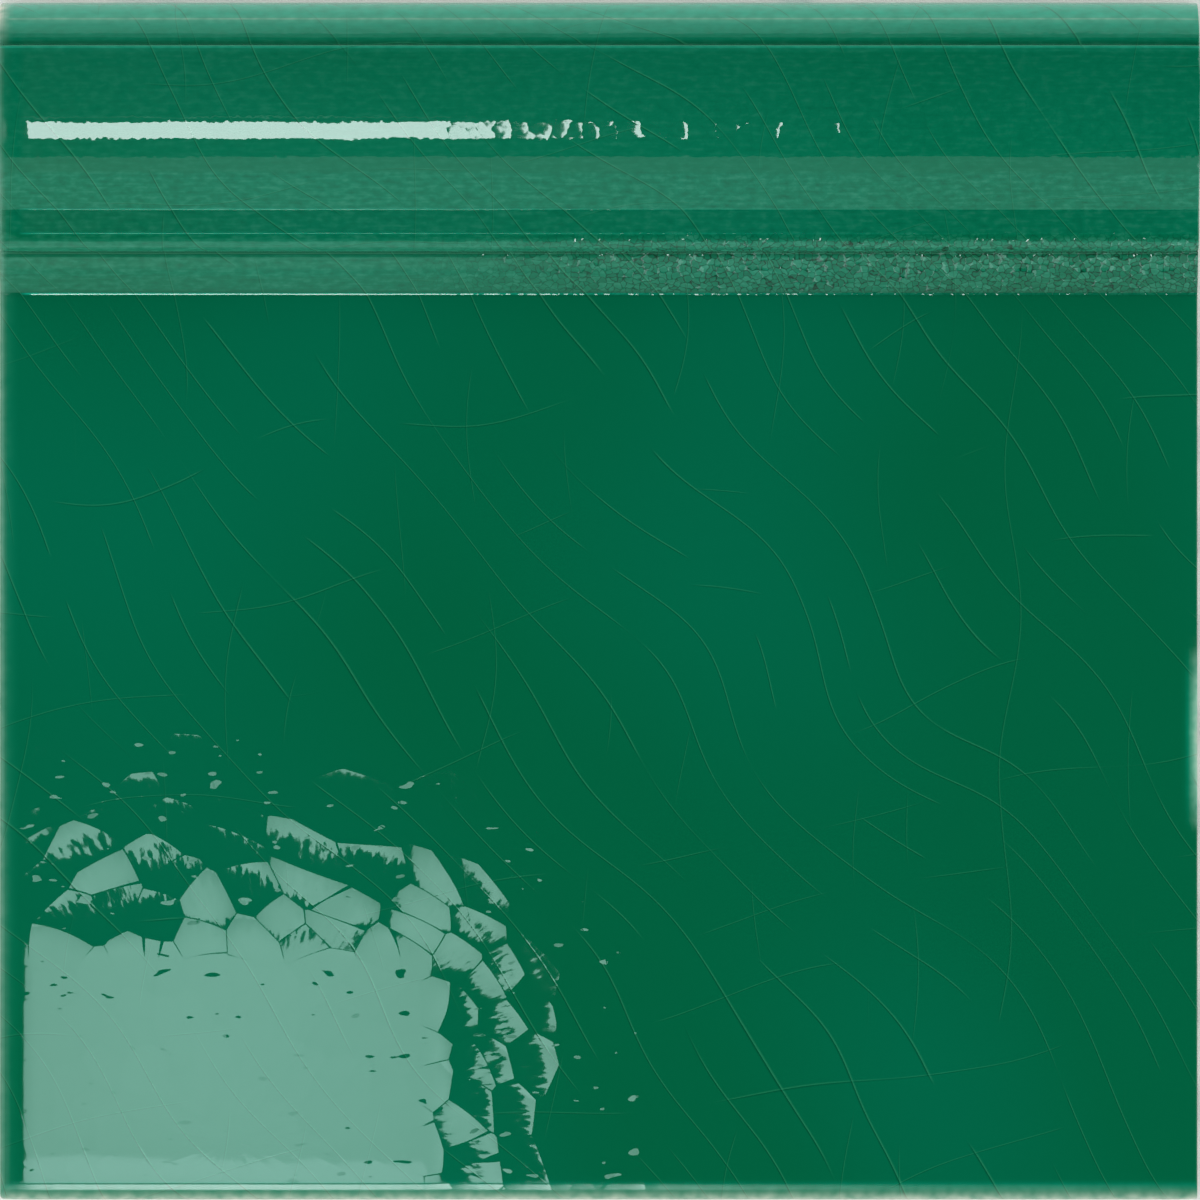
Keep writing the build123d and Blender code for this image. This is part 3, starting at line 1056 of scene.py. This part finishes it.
# %% [markdown]
# ## Light for a flat mirror
#
# A glossy flat tile shows whatever is behind the camera, so the air above it is kept dark and the light
# comes from the sides and corners, where no part of the face mirrors it. Lamps are given by their
# radiance, so 1 is as bright as white paper in this light. A lamp with a grid shines only close to
# straight ahead, so it can be mirrored without lighting much else.

# %% A lamp
WHITE = (1, 1, 1)


def lamp(name, place, size, radiance, colour=WHITE, aim=None, grid=None):
    """A rectangular lamp, in millimetres, that faces straight down or a place, maybe with a grid."""
    light = bpy.data.lights.new(name, "AREA")
    light.shape = "RECTANGLE"
    light.size, light.size_y = size[0] * MM, size[1] * MM
    light.energy = 4 * radiance * light.size * light.size_y
    light.color = colour
    if grid:
        light.spread = 2 * grid
        light.energy *= (tan(grid) - grid) / tan(grid)
    made = bpy.data.objects.new(name, light)
    made.location = Vector(place) * MM
    if aim is not None:
        away = Vector(place) - Vector(aim)
        made.rotation_euler = (-asin(away.y / away.length), atan2(away.x, away.z), 0)
    made.visible_camera = False
    bpy.context.collection.objects.link(made)


print("lamps ready")

# %% [markdown]
# Two gridded lamps near the camera are mirrored in the corner of the field as a pale patch, the one
# towards the foot a little brighter. A long thin lamp, higher up, is mirrored along the roll and in the
# fine bends of the moulding. Nearly all their borders are worked out from where the reflections lie in
# the picture, since a mirrored border tells where the lamp's edge is.

# %% Lamps that the face mirrors
PIXEL = seen_width / FRAME_PIXELS
PATCH_LEFT, PATCH_RIGHT, PATCH_TOP, PATCH_FOOT = 25, 470, 908, 1185
PATCH_HEIGHT, PATCH_FOOT_DEPTH = 1000.0, 45.0
PATCH_LIGHT, PATCH_COLOUR = 5.2, (0.92, 1, 0.98)
PATCH_FOOT_LIGHT, PATCH_FOOT_COLOUR = 6.3, (0.95, 1, 1)
GRID = radians(6.5)
PILLOW_SHIFT = 20.0
GLEAM_TOP, GLEAM_FOOT, GLEAM_RIGHT = 121, 137.5, 505
GLEAM_HEIGHT = 2000.0
GLEAM_LIGHT, GLEAM_COLOUR = 13.0, (1.07, 0.83, 0.87)


def mirrored(pixel, height):
    """Where a lamp at a height has its edge, if the flat field shows it at that pixel."""
    return (pixel - FRAME_PIXELS / 2) * PIXEL * (1 + height / SIGHT)


def off_the_roll(pixel):
    """Place up the tile, and angle from upright, of what the roll mirrors at a row of the picture."""
    up = (FRAME_PIXELS / 2 - pixel) * PIXEL * (1 - (CROWN - FIELD) / SIGHT)
    return up, 2 * asin((HEIGHT / 2 - up - ROLL_RADIUS) / ROLL_RADIUS) - up / SIGHT


def above_the_roll(pixel):
    """Where the gleam lamp has its edge, if the roll shows it at that row."""
    up, angle = off_the_roll(pixel)
    return up - GLEAM_HEIGHT * tan(angle)


patch_left = mirrored(PATCH_LEFT, PATCH_HEIGHT) - PILLOW_SHIFT
patch_right = mirrored(PATCH_RIGHT, PATCH_HEIGHT)
patch_near, patch_middle = -mirrored(PATCH_TOP, PATCH_HEIGHT), -mirrored(PATCH_FOOT, PATCH_HEIGHT)
patch_far = patch_middle - PATCH_FOOT_DEPTH
patch_parts = [
    ("patch_lamp", patch_near, patch_middle, PATCH_LIGHT, PATCH_COLOUR),
    ("patch_foot_lamp", patch_middle, patch_far, PATCH_FOOT_LIGHT, PATCH_FOOT_COLOUR),
]
for name, near, far, radiance, colour in patch_parts:
    middle = Vector(((patch_left + patch_right) / 2, (near + far) / 2, FIELD + PATCH_HEIGHT))
    shrink = 1 / (1 + PATCH_HEIGHT / SIGHT)
    aim = (middle.x * shrink, middle.y * shrink, FIELD)
    lamp(name, middle, (patch_right - patch_left, near - far), radiance, colour, aim, GRID)

gleam_left = mirrored(PATCH_LEFT, GLEAM_HEIGHT) - PILLOW_SHIFT
gleam_right = mirrored(GLEAM_RIGHT, GLEAM_HEIGHT)
gleam_near, gleam_far = above_the_roll(GLEAM_TOP), above_the_roll(GLEAM_FOOT)
middle = ((gleam_left + gleam_right) / 2, (gleam_near + gleam_far) / 2, FIELD + GLEAM_HEIGHT)
gleam_size = (gleam_right - gleam_left, gleam_near - gleam_far)
lamp("gleam_lamp", middle, gleam_size, GLEAM_LIGHT, GLEAM_COLOUR)
print(f"patch lamp {patch_near:.0f} to {patch_middle:.0f} mm up the tile")
print(f"gleam lamp {gleam_near:.0f} to {gleam_far:.0f} mm up the tile")

# %% [markdown]
# A long screen beyond the foot lightens every slope that faces it, and a low one beyond the head lights
# the lip. Big softboxes at both sides and over the four corners do the plain lighting. The corner ones
# are large and not too bright, so that the face doesn't turn white when it is seen from low down.

# %% Screens and softboxes
FLANK_LIGHT_TOP = 156
SCREEN_AWAY, SCREEN_WIDTH = 600.0, 1800.0
FOOT_SCREEN_LIGHT = 0.52
HEAD_SCREEN_LIGHT, HEAD_SCREEN_TOP = 0.22, 100.0
SIDES = {"left": (-1, 2.27), "right": (1, 2.0)}
SIDE_AWAY, SIDE_UP, SIDE_SIZE = 850.0, 800.0, (900, 800)
CORNER_ACROSS, CORNER_ALONG, CORNER_UP, CORNER_SIZE = 720.0, 900.0, 370.0, (1050, 700)
CORNER_SHARE = 0.78
MIDDLE = (0, 0, 0)

flank_up, flank_angle = off_the_roll(FLANK_LIGHT_TOP)
foot_screen_top = CROWN + (SCREEN_AWAY + flank_up) / tan(flank_angle)
screens = [
    ("foot_screen", -SCREEN_AWAY, foot_screen_top, FOOT_SCREEN_LIGHT),
    ("head_screen", SCREEN_AWAY, HEAD_SCREEN_TOP, HEAD_SCREEN_LIGHT),
]
for name, away, top, radiance in screens:
    lamp(name, (0, away, top / 2), (SCREEN_WIDTH, top), radiance, WHITE, (0, 0, top / 2))
for name, (side, radiance) in SIDES.items():
    lamp(f"{name}_softbox", (side * SIDE_AWAY, 0, SIDE_UP), SIDE_SIZE, radiance, WHITE, MIDDLE)
    for corner, end in (("head", 1), ("foot", -1)):
        spot = (side * CORNER_ACROSS, end * CORNER_ALONG, CORNER_UP)
        lamp(f"{name}_{corner}_softbox", spot, CORNER_SIZE, radiance * CORNER_SHARE, WHITE, MIDDLE)
print(f"foot screen {foot_screen_top:.0f} mm high")

# %% [markdown]
# ## Floor and world
#
# A pale floor carries the tile and its shadow. The world is left nearly black, because it is what the
# flat field mirrors.

# %% Floor and world
FLOOR_HALF = 4.0
FLOOR_COLOUR = (0.70, 0.76, 0.73, 1)
AIR = (0.012, 0.012, 0.012, 1)

floor_mesh = bpy.data.meshes.new("floor")
floor_corners = [(x * FLOOR_HALF, y * FLOOR_HALF, 0) for x, y in ((-1, -1), (1, -1), (1, 1), (-1, 1))]
floor_mesh.from_pydata(floor_corners, [], [(0, 1, 2, 3)])
floor = bpy.data.objects.new("floor", floor_mesh)
bpy.context.collection.objects.link(floor)
paper = bpy.data.materials.new("pale_floor")
paper.use_nodes = True
paper_recipe = Recipe(paper.node_tree)
paper_shader = paper_recipe.node("ShaderNodeBsdfDiffuse", {}, {"Color": FLOOR_COLOUR})
paper_recipe.node("ShaderNodeOutputMaterial", {}, {"Surface": paper_shader})
floor_mesh.materials.append(paper)

world = bpy.data.worlds.new("dark_air")
world.use_nodes = True
air = Recipe(world.node_tree)
air.node("ShaderNodeOutputWorld", {}, {"Surface": air.node("ShaderNodeBackground", {}, {"Color": AIR})})
bpy.context.scene.world = world
bpy.context.scene.view_settings.view_transform = "Standard"
